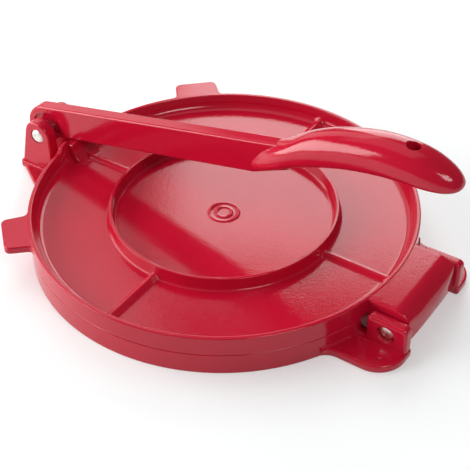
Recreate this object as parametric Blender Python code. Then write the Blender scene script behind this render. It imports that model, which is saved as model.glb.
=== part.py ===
"""Tortilla press: two cast plates on a hinge, squeezed by a lever pinned opposite.

Sizes are in metres. The origin is the middle of the base's underside. +X points to
the plate hinge, -X to the lever's pivot, and +Z is up.
"""

import math

import bmesh
import bpy
import numpy as np

# Gaps and cutters
running_gap = 0.0003
cutter_overrun = 0.002
weld_depth = 0.0015

# Base plate
base_inset = 0.0003
base_height = 0.0127
base_top_thickness = 0.0042
base_skirt_thickness = 0.005
base_ring_radius = 0.0615
base_ring_thickness = 0.004
base_rib_thickness = 0.004
base_rib_table_gap = 0.0008
base_edge_round = 0.0009

# Lid plate
lid_radius = 0.106
lid_plate_thickness = 0.0029
lid_rim_height = 0.0109
lid_rim_width = 0.0025
lid_wall_lean = 0.0011
lid_edge_round = 0.0007
lid_floor_fillet = 0.0045
lid_ring_radius = 0.0616
lid_ring_width = 0.0017
lid_ring_height = 0.0070
lid_ring_lean = 0.0007
lid_ring_fillet = 0.0014
lid_rib_width = 0.0058
lid_rib_height = 0.0022
lid_boss_ring_radius = 0.0080
lid_boss_ring_width = 0.0010
lid_boss_ring_height = 0.0005

# Grip tabs on the lid's rim
tab_reach = 0.0135
tab_root_width = 0.0266
tab_tip_width = 0.0246
tab_thickness = 0.0042
tab_corner_radius = 0.0035
tab_edge_round = 0.0008
tab_angle = math.radians(133)

# Plate hinge
hinge_pin_radius = 0.0047
hinge_pin_outset = 0.0112
hinge_pin_z = 0.0122
hinge_pin_recess = 0.0024
hinge_side_gap = 0.0006
tongue_half_width = 0.0250
tongue_end_past_pin = 0.0114
tongue_drop = 0.0002
tongue_edge_round = 0.0009
knuckle_end_degrees = -165
hinge_ear_thickness = 0.0066
hinge_ear_top = 0.0199
hinge_ear_setback = 0.0002
hinge_ear_heel = 0.0108
hinge_ear_round = 0.0020
foot_half_width = 0.0482
foot_toe_past_pin = 0.0113
foot_height = 0.0047
foot_corner_radius = 0.0110
foot_neck_fillet = 0.0100
foot_edge_round = 0.0010
foot_dimple_radius = 0.0016
foot_dimple_depth = 0.0007
foot_dimple_inset = 0.0073

# Lever bracket on the base
lever_pin_radius = 0.0042
lever_pin_outset = 0.0158
lever_pin_z = 0.0270
lever_pin_proud = 0.0008
lever_side_gap = 0.0003
bracket_ear_inner = 0.0062
bracket_ear_thickness = 0.0073
bracket_ear_top_radius = 0.0090
bracket_ear_foot_reach = 0.0138
bracket_ear_round = 0.0012
bracket_shelf_height = 0.0056
bracket_shelf_ledge = 0.0013
bracket_neck_height = 0.0095
bracket_lobe_height = 0.0032
bracket_lobe_tip_half_width = 0.0150
bracket_lobe_root_half_width = 0.0400
bracket_lobe_tip_gap = 0.0010
bracket_edge_round = 0.0009

# Lever
lever_tilt = math.radians(12.7)
arm_thickness = 0.0080
arm_above_pin = 0.0144
arm_below_pin = 0.0048
arm_edge_round = 0.0022
arm_into_grip = 0.0102
arm_nose_into_grip = 0.0163
arm_heel_setback = 0.0026
hub_radius = 0.0080
pocket_depth = 0.0012
pocket_flange = 0.0040
pocket_reach = 0.0115
pocket_floor_height = 0.0030
pocket_corner_radius = 0.0030
grip_start = 0.1480
grip_length = 0.1165
grip_rise = 0.0172
grip_half_width = 0.0116
grip_half_height = 0.0102
grip_corner_power = 2.3
hang_hole_radius = 0.0035
hang_hole_setback = 0.0293

# Pressing block on the lid, under the lever
block_half_width = 0.0082
block_reach = 0.0066
block_foot_reach = 0.0125
block_edge_round = 0.0011

# Smoothness
plate_sides = 72
pin_sides = 28
corner_steps = 4
grip_rings = 24
grip_sides = 24
grip_ring_crowding = 1.15

# Colours
enamel_red = (0.49, 0.010, 0.024)
steel_grey = (0.62, 0.60, 0.57)

# Places that follow from the sizes above
base_radius = lid_radius - base_inset
hinge_pin_x = lid_radius + hinge_pin_outset
tongue_reach = hinge_pin_x + tongue_end_past_pin
hinge_ear_front = lid_radius + hinge_ear_setback
hinge_ear_back = hinge_pin_x + hinge_ear_heel
foot_reach = hinge_pin_x + foot_toe_past_pin
lever_pin_x = lid_radius + lever_pin_outset
lid_underside = base_height + running_gap
lid_floor = lid_underside + lid_plate_thickness
lid_rim_top = lid_underside + lid_rim_height
tongue_top = lid_rim_top - tongue_drop
knuckle_radius = tongue_top - hinge_pin_z
hinge_ear_inner = tongue_half_width + hinge_side_gap
hinge_ear_outer = hinge_ear_inner + hinge_ear_thickness
bracket_ear_outer = bracket_ear_inner + bracket_ear_thickness


def clear_scene():
    for obj in list(bpy.data.objects):
        bpy.data.objects.remove(obj, do_unlink=True)


def arc(centre, radius, start_degrees, end_degrees, steps=corner_steps):
    """Points of an arc in a plane, both ends included."""
    angles = np.radians(np.linspace(start_degrees, end_degrees, steps + 1))
    return [
        (centre[0] + radius * math.cos(a), centre[1] + radius * math.sin(a)) for a in angles
    ]


def link(name, mesh):
    obj = bpy.data.objects.new(name, mesh)
    bpy.context.scene.collection.objects.link(obj)
    return obj


def shade_round(mesh):
    mesh.shade_smooth()
    mesh.set_sharp_from_angle(angle=math.radians(35))


def helper(obj):
    """A cutter or an added block: drawn as wire and left out of the model."""
    obj.hide_render = True
    obj.display_type = "WIRE"
    return obj


def extruded(name, outline, low, high, upright=False):
    """A plane outline pushed from low to high along Z, or along Y where upright is set."""
    shape = bmesh.new()
    if upright:
        corners = [shape.verts.new((u, low, v)) for u, v in outline]
        travel = (0, high - low, 0)
    else:
        corners = [shape.verts.new((u, v, low)) for u, v in outline]
        travel = (0, 0, high - low)
    face = shape.faces.new(corners)
    pushed = bmesh.ops.extrude_face_region(shape, geom=[face])
    moved = [part for part in pushed["geom"] if isinstance(part, bmesh.types.BMVert)]
    bmesh.ops.translate(shape, verts=moved, vec=travel)
    bmesh.ops.recalc_face_normals(shape, faces=shape.faces)
    mesh = bpy.data.meshes.new(name)
    shape.to_mesh(mesh)
    shape.free()
    return link(name, mesh)


def turned(name, profile, sides):
    """A closed profile of (radius, height) points spun about Z. Points at radius zero meet there."""
    shape = bmesh.new()
    corners = [shape.verts.new((radius, 0, height)) for radius, height in profile]
    for first, second in zip(corners, corners[1:]):
        shape.edges.new((first, second))
    if profile[0][0] > 0:
        shape.edges.new((corners[-1], corners[0]))
    bmesh.ops.spin(
        shape,
        geom=shape.verts[:] + shape.edges[:],
        cent=(0, 0, 0),
        axis=(0, 0, 1),
        angle=math.tau,
        steps=sides,
        use_merge=True,
    )
    bmesh.ops.remove_doubles(shape, verts=shape.verts, dist=running_gap / plate_sides)
    bmesh.ops.recalc_face_normals(shape, faces=shape.faces)
    mesh = bpy.data.meshes.new(name)
    shape.to_mesh(mesh)
    shape.free()
    shade_round(mesh)
    return link(name, mesh)


def rod(name, radius, low, high, edge_round=0, sides=pin_sides):
    """A round bar along Y with its ends rounded over."""
    middle = (low + high) / 2
    half = (high - low) / 2
    profile = [(0, -half)]
    if edge_round:
        profile += arc((radius - edge_round, edge_round - half), edge_round, -90, 0, 3)
        profile += arc((radius - edge_round, half - edge_round), edge_round, 0, 90, 3)
    else:
        profile += [(radius, -half), (radius, half)]
    profile.append((0, half))
    bar = turned(name, profile, sides)
    bar.rotation_euler = (math.radians(90), 0, 0)
    bar.location = (0, middle, 0)
    return bar


def rounded(obj, width, segments=2, limit_degrees=40):
    bevel = obj.modifiers.new("edge_round", "BEVEL")
    bevel.width = width
    bevel.segments = segments
    bevel.limit_method = "ANGLE"
    bevel.angle_limit = math.radians(limit_degrees)
    bevel.use_clamp_overlap = True
    return obj


def combine(target, other, operation, solver="EXACT"):
    """One Boolean step. MANIFOLD joins the bodies that EXACT leaves with open edges."""
    step = target.modifiers.new(other.name, "BOOLEAN")
    step.operation = operation
    step.solver = solver
    step.object = helper(other)


def add_to(target, *others, solver="EXACT"):
    for other in others:
        combine(target, other, "UNION", solver)


def cut_from(target, *others, solver="EXACT"):
    for other in others:
        combine(target, other, "DIFFERENCE", solver)


def mirrored_outline(outline):
    return [(u, -v) for u, v in outline]


def rectangle(start, end, half_width):
    """Plan of a rectangle between two places along X, centred on the X axis."""
    return [(start, -half_width), (end, -half_width), (end, half_width), (start, half_width)]


def finish(name, colour, roughness, metallic):
    material = bpy.data.materials.new(name)
    material.use_nodes = True
    shader = material.node_tree.nodes["Principled BSDF"]
    shader.inputs["Base Color"].default_value = (*colour, 1)
    shader.inputs["Roughness"].default_value = roughness
    shader.inputs["Metallic"].default_value = metallic
    return material


def enamel(name):
    """Glossy red coating over a casting."""
    return finish(name, colour=enamel_red, roughness=0.25, metallic=0.0)


def steel(name):
    """Plain drawn steel of a pin."""
    return finish(name, colour=steel_grey, roughness=0.35, metallic=1.0)


def base_profile():
    """Half section of the hollow base: flat top, skirt round the edge, one ring below."""
    roof = base_height - base_top_thickness
    inner_wall = base_radius - base_skirt_thickness
    ring_out = base_ring_radius + base_ring_thickness / 2
    ring_in = base_ring_radius - base_ring_thickness / 2
    top_edge = (base_radius - base_edge_round, base_height - base_edge_round)
    low_edge = (base_radius - base_edge_round, base_edge_round)
    return [
        (0, base_height),
        *reversed(arc(top_edge, base_edge_round, 0, 90, 2)),
        *reversed(arc(low_edge, base_edge_round, -90, 0, 2)),
        (inner_wall, 0),
        (inner_wall - base_edge_round, roof),
        (ring_out, roof),
        (ring_out, base_rib_table_gap),
        (ring_in, base_rib_table_gap),
        (ring_in, roof),
        (0, roof),
    ]


def base_rib(name, angle):
    """One straight rib under the base, from its ring to its skirt."""
    end = base_radius - base_skirt_thickness + weld_depth
    outline = rectangle(base_ring_radius, end, base_rib_thickness / 2)
    roof = base_height - base_top_thickness + weld_depth
    rib = extruded(name, outline, base_rib_table_gap, roof)
    rib.rotation_euler = (0, 0, angle)
    return rib


def foot_outline():
    """Plan of one foot beside the hinge, run into the base's wall with a hollow fillet."""
    fillet_y = foot_half_width + foot_neck_fillet
    fillet_x = math.sqrt((base_radius + foot_neck_fillet) ** 2 - fillet_y**2)
    meet = math.degrees(math.atan2(fillet_y, fillet_x))
    corner = (foot_reach - foot_corner_radius, foot_half_width - foot_corner_radius)
    inside = base_radius - base_skirt_thickness + weld_depth
    inside_x = inside * math.cos(math.radians(meet))
    inside_y = inside * math.sin(math.radians(meet))
    return [
        (inside_x, inside_y),
        *arc((fillet_x, fillet_y), foot_neck_fillet, meet - 180, -90),
        *arc(corner, foot_corner_radius, 90, 0, 2 * corner_steps),
        (foot_reach, hinge_ear_inner),
        (math.sqrt(inside**2 - hinge_ear_inner**2), hinge_ear_inner),
    ]


def hinge_ear_outline():
    """Side view of a hinge ear. Low down it runs back into the base's wall."""
    radius = hinge_ear_round
    tail = math.sqrt((base_radius - base_skirt_thickness) ** 2 - hinge_ear_inner**2)
    return [
        (tail, weld_depth),
        (hinge_ear_back, weld_depth),
        *arc((hinge_ear_back - radius, hinge_ear_top - radius), radius, 0, 90),
        *arc((hinge_ear_front + radius, hinge_ear_top - radius), radius, 90, 180),
        (hinge_ear_front, base_height - base_edge_round),
        (tail, base_height - base_edge_round),
    ]


def bracket_ear_outline():
    """Side view of a lever ear: round over the pin, straight in front, leaning out behind."""
    radius = bracket_ear_top_radius
    foot = (-bracket_ear_foot_reach, weld_depth - lever_pin_z)
    reach = math.hypot(*foot)
    touch = math.atan2(foot[1], foot[0]) % math.tau - math.acos(radius / reach)
    top = arc((0, 0), radius, 0, math.degrees(touch), 3 * corner_steps)
    points = [(radius, foot[1]), *top, foot]
    return [(x - lever_pin_x, z + lever_pin_z) for x, z in points]


def bracket_lobe_outline():
    """Plan of the flat lobe under the lever bracket, widening into the base."""
    tip_x = -(lever_pin_x + bracket_ear_foot_reach + bracket_lobe_tip_gap)
    radius = base_radius - base_skirt_thickness / 2
    half_angle = math.degrees(math.asin(bracket_lobe_root_half_width / radius))
    root = arc((0, 0), radius, 180 + half_angle, 180 - half_angle, 2 * corner_steps)
    return [*root, (tip_x, bracket_lobe_tip_half_width), (tip_x, -bracket_lobe_tip_half_width)]


def make_base():
    base = turned("base_plate", base_profile(), plate_sides)
    for index in range(4):
        add_to(base, base_rib(f"base_rib_{index}", math.radians(45 + 90 * index)))
    for side, turn in (("left", 1), ("right", -1)):
        outline = foot_outline()
        ears = (hinge_ear_inner, hinge_ear_outer)
        dimple_y = foot_half_width - foot_dimple_inset
        if turn < 0:
            outline = mirrored_outline(outline)
            ears = (-hinge_ear_outer, -hinge_ear_inner)
        foot = extruded(f"foot_{side}", outline, 0, foot_height)
        ear = extruded(f"hinge_ear_{side}", hinge_ear_outline(), *ears, upright=True)
        add_to(base, rounded(foot, foot_edge_round), rounded(ear, hinge_ear_round / 2))
        cone = [(0, -foot_dimple_depth), (foot_dimple_radius, foot_dimple_depth), (0, foot_dimple_depth)]
        dimple = turned(f"foot_dimple_{side}", cone, pin_sides // 2)
        dimple.location = (hinge_pin_x, turn * dimple_y, foot_height)
        cut_from(base, dimple)

    lobe = extruded("bracket_lobe", bracket_lobe_outline(), 0, bracket_lobe_height)
    root_x = -(base_radius - base_skirt_thickness + weld_depth)
    shelf_half = bracket_ear_outer + bracket_shelf_ledge
    shelf_tip = -(lever_pin_x + bracket_ear_foot_reach + bracket_lobe_tip_gap / 2)
    shelf_plan = rectangle(shelf_tip, root_x, shelf_half)
    shelf = extruded("bracket_shelf", shelf_plan, bracket_edge_round, bracket_shelf_height)
    neck_tip = bracket_ear_top_radius / 2 - lever_pin_x
    neck_plan = rectangle(neck_tip, root_x - running_gap, bracket_ear_outer)
    neck = extruded("bracket_neck", neck_plan, bracket_edge_round, bracket_neck_height)
    for block in (lobe, shelf, neck):
        add_to(base, rounded(block, bracket_edge_round), solver="MANIFOLD")
    for side, low in (("left", bracket_ear_inner), ("right", -bracket_ear_outer)):
        high = low + bracket_ear_thickness
        ear = extruded(f"bracket_ear_{side}", bracket_ear_outline(), low, high, upright=True)
        add_to(base, rounded(ear, bracket_ear_round), solver="MANIFOLD")

    sweep = rod(
        "knuckle_sweep",
        knuckle_radius + 2 * running_gap,
        -hinge_ear_inner,
        hinge_ear_inner,
        sides=2 * pin_sides,
    )
    sweep.location = (hinge_pin_x, 0, hinge_pin_z)
    reach = hinge_ear_outer + cutter_overrun
    hinge_bore = rod("hinge_bore", hinge_pin_radius + running_gap, -reach, reach)
    hinge_bore.location = (hinge_pin_x, 0, hinge_pin_z)
    reach = bracket_ear_outer + cutter_overrun
    lever_bore = rod("lever_bore", lever_pin_radius + running_gap, -reach, reach)
    lever_bore.location = (-lever_pin_x, 0, lever_pin_z)
    cut_from(base, sweep, hinge_bore, lever_bore, solver="MANIFOLD")
    base.data.materials.append(enamel("base_enamel"))
    return base


def lid_profile():
    """Half section of the lid: flat plate, raised ring round the middle, upright rim."""
    edge = lid_edge_round
    wall_top = lid_radius - lid_rim_width
    wall_foot = wall_top - lid_wall_lean - lid_floor_fillet
    ring_out = lid_ring_radius + lid_ring_width / 2
    ring_in = lid_ring_radius - lid_ring_width / 2
    ring_top = lid_floor + lid_ring_height
    fillet = lid_ring_fillet
    boss_out = lid_boss_ring_radius + lid_boss_ring_width / 2
    boss_in = lid_boss_ring_radius - lid_boss_ring_width / 2
    boss_top = lid_floor + lid_boss_ring_height
    slope = lid_boss_ring_height / 2
    return [
        (0, lid_underside),
        (lid_radius - edge, lid_underside),
        *arc((lid_radius - edge, lid_rim_top - edge), edge, 0, 90, 2),
        *arc((wall_top + edge, lid_rim_top - edge), edge, 90, 180, 2),
        *arc((wall_foot, lid_floor + lid_floor_fillet), lid_floor_fillet, 0, -90),
        *arc((ring_out + lid_ring_lean + fillet, lid_floor + fillet), fillet, -90, -180, 2),
        *arc((ring_out - edge / 2, ring_top - edge / 2), edge / 2, 0, 90, 2),
        *arc((ring_in + edge / 2, ring_top - edge / 2), edge / 2, 90, 180, 2),
        *arc((ring_in - lid_ring_lean - fillet, lid_floor + fillet), fillet, 0, -90, 2),
        (boss_out + slope, lid_floor),
        (boss_out, boss_top),
        (boss_in, boss_top),
        (boss_in - slope, lid_floor),
        (0, lid_floor),
    ]


def lid_rib(name, angle):
    """A low round-backed rib across the lid's floor, from its ring to its rim."""
    start = lid_ring_radius
    end = lid_radius - lid_rim_width / 2
    half = lid_rib_width / 2
    shares = np.linspace(-1, 1, 2 * corner_steps + 1)
    section = [(half * s, lid_floor + lid_rib_height * (1 - s * s)) for s in shares]
    section += [(half, lid_floor - weld_depth), (-half, lid_floor - weld_depth)]
    rib = extruded(name, section, start, end, upright=True)
    rib.rotation_euler = (0, 0, angle - math.radians(90))
    return rib


def tab_outline():
    """Plan of a grip tab along +X, its two outer corners rounded."""
    root_x = lid_radius - lid_rim_width + lid_edge_round
    tip_x = lid_radius + tab_reach
    radius = tab_corner_radius
    upper = arc((tip_x - radius, tab_tip_width / 2 - radius), radius, 0, 90)
    lower = arc((tip_x - radius, radius - tab_tip_width / 2), radius, -90, 0)
    return [(root_x, -tab_root_width / 2), *lower, *upper, (root_x, tab_root_width / 2)]


def tongue_outline():
    """Side view of the hinge tongue: level on top, then rolled round the pin."""
    pin = (hinge_pin_x, hinge_pin_z)
    knuckle = arc(pin, knuckle_radius, 90, knuckle_end_degrees, 5 * corner_steps)
    root_x = math.sqrt((lid_radius - lid_rim_width) ** 2 - tongue_half_width**2) - weld_depth
    return [
        (root_x, lid_underside + lid_edge_round),
        (root_x, tongue_top),
        *knuckle,
        (hinge_pin_x - knuckle_radius, lid_underside + lid_edge_round),
    ]


def arm_underside(x):
    """Height of the resting lever's underside over a place x in the middle plane."""
    along = (x + lever_pin_x) * math.tan(lever_tilt)
    return lever_pin_z + along - arm_below_pin / math.cos(lever_tilt)


def block_outline():
    """Side view of the pressing block: its top lies along the lever's underside."""
    outer = -lid_radius + lid_edge_round / 2
    inner = outer + block_reach
    foot = outer + block_foot_reach
    low = lid_floor - weld_depth / 2
    return [
        (outer, low),
        (foot, low),
        (foot - lid_rib_height / 2, lid_floor + lid_rib_height / 2),
        (inner + lid_rib_height, lid_floor + lid_rib_height * 2),
        (inner, arm_underside(inner) - running_gap),
        (outer, arm_underside(outer) - running_gap),
    ]


def make_lid():
    lid = turned("lid_plate", lid_profile(), plate_sides)
    for index in range(4):
        add_to(lid, lid_rib(f"lid_rib_{index}", math.radians(90 * index)))
    for side, angle in (("left", tab_angle), ("right", -tab_angle)):
        low = lid_rim_top - tongue_drop - tab_thickness
        tab = extruded(f"grip_tab_{side}", tab_outline(), low, lid_rim_top - tongue_drop)
        tab.rotation_euler = (0, 0, angle)
        add_to(lid, rounded(tab, tab_edge_round))

    half = tongue_half_width
    tongue = extruded("hinge_tongue", tongue_outline(), -half, half, upright=True)
    rounded(tongue, tongue_edge_round, limit_degrees=60)
    inner = lid_radius - lid_rim_width + lid_edge_round
    low = -lid_rim_height
    high = 2 * lid_rim_top
    ends = [(inner, low), (tongue_reach, low), (tongue_reach, high), (inner, high)]
    combine(tongue, turned("tongue_ends", ends, 2 * plate_sides), "INTERSECT")
    half = block_half_width
    block = extruded("pressing_block", block_outline(), -half, half, upright=True)
    add_to(lid, tongue, rounded(block, block_edge_round))

    reach = tongue_half_width + cutter_overrun
    bore = rod("tongue_bore", hinge_pin_radius + running_gap, -reach, reach)
    bore.location = (hinge_pin_x, 0, hinge_pin_z)
    cut_from(lid, bore)
    lid.data.materials.append(enamel("lid_enamel"))
    return lid


# Stations of the grip: share of its length, then shares of its rise, of its half width
# and of its half height, and how far a section leans forward for each unit of its height.
grip_station_shares = np.array(
    [
        (0.00, 0.27, 0.28, 0.84, 1.00),
        (0.05, 0.30, 0.55, 0.90, 0.95),
        (0.11, 0.39, 0.77, 0.92, 0.80),
        (0.28, 0.74, 0.90, 0.94, 0.35),
        (0.50, 0.98, 0.97, 0.98, 0.10),
        (0.69, 0.96, 1.00, 1.00, 0.00),
        (0.82, 0.79, 0.98, 0.97, -0.10),
        (1.00, 0.42, 0.88, 0.86, -0.20),
    ]
)
grip_nose_share = 0.80


def grip_station(share):
    """The station row at a share of the grip's length, on a smooth curve through the rows."""
    rows = grip_station_shares
    slopes = np.gradient(rows, rows[:, 0], axis=0)
    index = int(np.clip(np.searchsorted(rows[:, 0], share) - 1, 0, len(rows) - 2))
    span = rows[index + 1, 0] - rows[index, 0]
    t = (share - rows[index, 0]) / span
    blend = t * t * (3 - 2 * t)
    bend_in = t * (1 - t) ** 2
    bend_out = t * t * (t - 1)
    row = rows[index] * (1 - blend) + rows[index + 1] * blend
    return row + span * (bend_in * slopes[index] + bend_out * slopes[index + 1])


def grip_ring(share):
    """One section of the grip, in the lever's own frame."""
    _, rise, width, height, lean = grip_station(share)
    past = max(0.0, share - grip_nose_share) / (1 - grip_nose_share)
    closing = math.sqrt(max(0.0, 1 - past**2))
    angles = np.arange(grip_sides) * math.tau / grip_sides
    power = 2 / grip_corner_power
    across = np.sign(np.cos(angles)) * np.abs(np.cos(angles)) ** power
    up = np.sign(np.sin(angles)) * np.abs(np.sin(angles)) ** power
    y = across * width * closing * grip_half_width
    z = up * height * closing * grip_half_height
    x = grip_start + share * grip_length + z * lean
    return np.stack([x, y, z + rise * grip_rise], axis=1)


def make_grip():
    """The arched grip as one skin over its sections, closed by a fan at each end."""
    even = np.linspace(0, 1, grip_rings)
    shares = np.sin(even * math.pi / 2) ** grip_ring_crowding
    shape = bmesh.new()
    rings = []
    for share in shares[:-1]:
        rings.append([shape.verts.new(point) for point in grip_ring(share)])
    for first, second in zip(rings, rings[1:]):
        for index in range(grip_sides):
            after = (index + 1) % grip_sides
            shape.faces.new((first[index], first[after], second[after], second[index]))
    for ring, share in ((rings[0], 0.0), (rings[-1], 1.0)):
        pole = shape.verts.new(grip_ring(share).mean(axis=0))
        for index in range(grip_sides):
            shape.faces.new((ring[index], ring[(index + 1) % grip_sides], pole))
    bmesh.ops.recalc_face_normals(shape, faces=shape.faces)
    mesh = bpy.data.meshes.new("grip")
    shape.to_mesh(mesh)
    shape.free()
    shade_round(mesh)
    return link("grip", mesh)


def arm_outline():
    """Side view of the arm in the lever's frame: round over the pin, ending inside the grip."""
    low_angle = 180 + math.degrees(math.asin(arm_below_pin / arm_above_pin))
    end = arc((0, 0), arm_above_pin, low_angle, 90, 3 * corner_steps)
    return [
        *end,
        (grip_start + arm_into_grip, arm_above_pin),
        (grip_start + arm_nose_into_grip, arm_above_pin / 2),
        (grip_start + arm_into_grip, 0),
        (grip_start - arm_heel_setback, -arm_below_pin),
    ]


def pocket_outline():
    """Side view of the shallow pocket round the pivot, inside the arm's flange."""
    radius = arm_above_pin - pocket_flange
    corner = (pocket_reach - pocket_corner_radius, pocket_corner_radius - pocket_floor_height)
    low_angle = 180 + math.degrees(math.asin(pocket_floor_height / radius))
    return [
        *arc((0, 0), radius, low_angle, 90, 2 * corner_steps),
        (pocket_reach, radius),
        *arc(corner, pocket_corner_radius, 0, -90),
    ]


def make_lever():
    half = arm_thickness / 2
    lever = extruded("lever", arm_outline(), -half, half, upright=True)
    rounded(lever, arm_edge_round, segments=3)
    floor = half - pocket_depth
    outside = half + cutter_overrun
    for side, low, high in (("left", floor, outside), ("right", -outside, -floor)):
        cut_from(lever, extruded(f"pocket_{side}", pocket_outline(), low, high, upright=True))
    hub_half = bracket_ear_inner - lever_side_gap
    hub = rod("lever_hub", hub_radius, -hub_half, hub_half)
    add_to(lever, hub, make_grip())

    reach = hub_half + cutter_overrun
    bore = rod("lever_hub_bore", lever_pin_radius + running_gap, -reach, reach)
    tall = 2 * (grip_half_height + grip_rise)
    side = [(0, -tall), (hang_hole_radius, -tall), (hang_hole_radius, tall), (0, tall)]
    hang_hole = turned("hang_hole", side, pin_sides)
    hang_hole.location = (grip_start + grip_length - hang_hole_setback, 0, 0)
    hang_hole.rotation_euler = (0, lever_tilt, 0)
    cut_from(lever, bore, hang_hole, solver="MANIFOLD")
    for tool in [step.object for step in lever.modifiers if step.type == "BOOLEAN"]:
        tool.parent = lever
    lever.location = (-lever_pin_x, 0, lever_pin_z)
    lever.rotation_euler = (0, -lever_tilt, 0)
    lever.data.materials.append(enamel("lever_enamel"))
    return lever


def make_pins():
    half = bracket_ear_outer + lever_pin_proud
    lever_pin = rod("lever_pin", lever_pin_radius, -half, half, lever_pin_proud / 2)
    lever_pin.location = (-lever_pin_x, 0, lever_pin_z)
    half = hinge_ear_outer - hinge_pin_recess
    hinge_pin = rod("hinge_pin", hinge_pin_radius, -half, half, lever_pin_proud / 2)
    hinge_pin.location = (hinge_pin_x, 0, hinge_pin_z)
    for pin in (lever_pin, hinge_pin):
        pin.data.materials.append(steel(f"{pin.name}_steel"))


clear_scene()
make_base()
make_lid()
make_lever()
make_pins()
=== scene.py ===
"""Looks of a cast tortilla press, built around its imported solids. Metres, +Z up."""

import math

import bmesh
import bpy
import numpy as np
from mathutils import Matrix, Vector


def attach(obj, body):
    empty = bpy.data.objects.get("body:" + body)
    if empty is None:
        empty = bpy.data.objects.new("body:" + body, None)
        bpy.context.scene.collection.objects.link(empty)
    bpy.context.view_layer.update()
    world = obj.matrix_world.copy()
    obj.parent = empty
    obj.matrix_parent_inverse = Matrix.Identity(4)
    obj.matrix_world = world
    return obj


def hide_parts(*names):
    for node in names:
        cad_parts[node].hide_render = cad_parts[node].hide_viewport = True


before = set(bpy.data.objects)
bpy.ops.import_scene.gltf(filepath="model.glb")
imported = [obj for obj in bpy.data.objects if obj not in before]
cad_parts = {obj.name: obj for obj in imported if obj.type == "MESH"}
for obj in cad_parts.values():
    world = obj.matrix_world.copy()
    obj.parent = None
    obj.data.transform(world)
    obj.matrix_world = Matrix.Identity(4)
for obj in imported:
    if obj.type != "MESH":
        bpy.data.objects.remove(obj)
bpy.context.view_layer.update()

# Base casting
# The lower plate is one iron casting: a flat top, a skirt that it stands on, two feet with
# the hinge ears and, opposite them, the forked bracket of the lever. It is fettled, then
# coated in red enamel like the lid and the lever.

mm = 0.001
running_gap = 0.3 * mm
bore_overrun = 2.0 * mm
round_steps = 240
pole_radius = 0.4 * mm
merge_distance = 0.002 * mm

# How far one shell runs into the next, to be joined to it, and the corners that stay inside.
weld = 1.5 * mm
buried_corner = 0.2 * mm

base_radius = 105.7 * mm
base_height = 12.7 * mm
base_edge = 0.9 * mm
base_roof = 8.5 * mm
base_roof_corner = 2.0 * mm
base_skirt = 5.0 * mm
base_ring_radius = 61.5 * mm
base_ring_half = 2.0 * mm
base_rib_half = 2.0 * mm
base_rib_gap = 0.8 * mm
base_rib_edge = 0.5 * mm
base_rib_angles = (45, 135, 225, 315)

hinge_x = 117.2 * mm
hinge_z = 12.2 * mm
hinge_pin_radius = 4.7 * mm
knuckle_radius = 11.5 * mm
ear_inner = 25.6 * mm
ear_outer = 32.2 * mm
ear_top = 19.9 * mm
ear_front = 106.2 * mm
ear_back = 128.8 * mm
ear_edge = 1.8 * mm
ear_tail_height = 6.5 * mm
ear_back_corner = 3.0 * mm
ear_front_corner = 2.4 * mm
ear_tail_fillet = 2.0 * mm

foot_reach = 129.4 * mm
foot_half = 48.2 * mm
foot_height = 4.7 * mm
foot_corner = 15.5 * mm
foot_fillet = 10.0 * mm
foot_edge = 1.2 * mm
foot_heel = 1.5 * mm
foot_weld_fillet = 1.6 * mm
foot_weld_angles = (19, 29)
dimple_radius = 1.5 * mm
dimple_depth = 1.0 * mm
dimple_flare = 1.1
dimple_sweep = (0.1, 1.4)
dimple_inset = 7.3 * mm
dimple_x = 119.4 * mm

pivot_x = -121.8 * mm
pivot_z = 27.0 * mm
pivot_pin_radius = 4.2 * mm
fork_inner = 6.2 * mm
fork_outer = 13.5 * mm
fork_round = 9.0 * mm
fork_foot = 14.6 * mm
fork_edge = 1.3 * mm
shelf_height = 5.6 * mm
shelf_ledge = 1.3 * mm
shelf_margin = 0.2 * mm
shelf_corner = 1.5 * mm
neck_height = 9.5 * mm
lobe_height = 3.2 * mm
lobe_tip = 136.6 * mm
lobe_tip_half = 15.0 * mm
lobe_root_half = 40.0 * mm
lobe_corner = 5.0 * mm
lobe_corner_sweep = 70
lobe_edge = 1.1 * mm

# The paler colour for convex edges is partly a coat run thin there and partly a painted highlight.
enamel_colours = {"body": "c21130", "deep": "ba0e2c", "thin_coat_highlight": "cf2a44"}
enamel_patch_size = 45 * mm
orange_peel_size = 2.2 * mm

# The marks of the sand are about half as coarse, and are drawn this size so that they show.
cast_grain_size = 1.1 * mm


def arc(centre, radius, start, end, steps=8):
    """Points of an arc about a centre, from one angle in degrees to another."""
    angles = np.radians(np.linspace(start, end, steps + 1))
    return np.stack([centre[0] + radius * np.cos(angles), centre[1] + radius * np.sin(angles)], axis=1)


def rounded_outline(corners, radii, steps=6):
    """Closed outline through corners, each cut back to an arc that touches both its sides.

    The arc's centre lies on the corner's bisector, radius / sin(half angle) from the corner,
    and its points swing evenly from one touching point to the other."""
    corners = np.array(corners, float)
    radii = np.broadcast_to(np.array(radii, float), len(corners))
    back = np.roll(corners, 1, axis=0) - corners
    back /= np.linalg.norm(back, axis=1, keepdims=True)
    ahead = np.roll(corners, -1, axis=0) - corners
    ahead /= np.linalg.norm(ahead, axis=1, keepdims=True)
    half = np.arccos(np.clip((back * ahead).sum(axis=1), -1, 1)) / 2
    run = (radii / np.tan(half))[:, None]
    middle = back + ahead
    middle /= np.linalg.norm(middle, axis=1, keepdims=True)
    centre = corners + middle * (radii / np.sin(half))[:, None]
    first = (corners + back * run - centre)[:, None]
    last = (corners + ahead * run - centre)[:, None]
    swing = (np.pi - 2 * half)[:, None, None]
    share = np.linspace(0, 1, steps + 1)[None, :, None]
    spokes = np.sin((1 - share) * swing) * first + np.sin(share * swing) * last
    return (centre[:, None] + spokes / np.sin(swing)).reshape(-1, 2)


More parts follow.
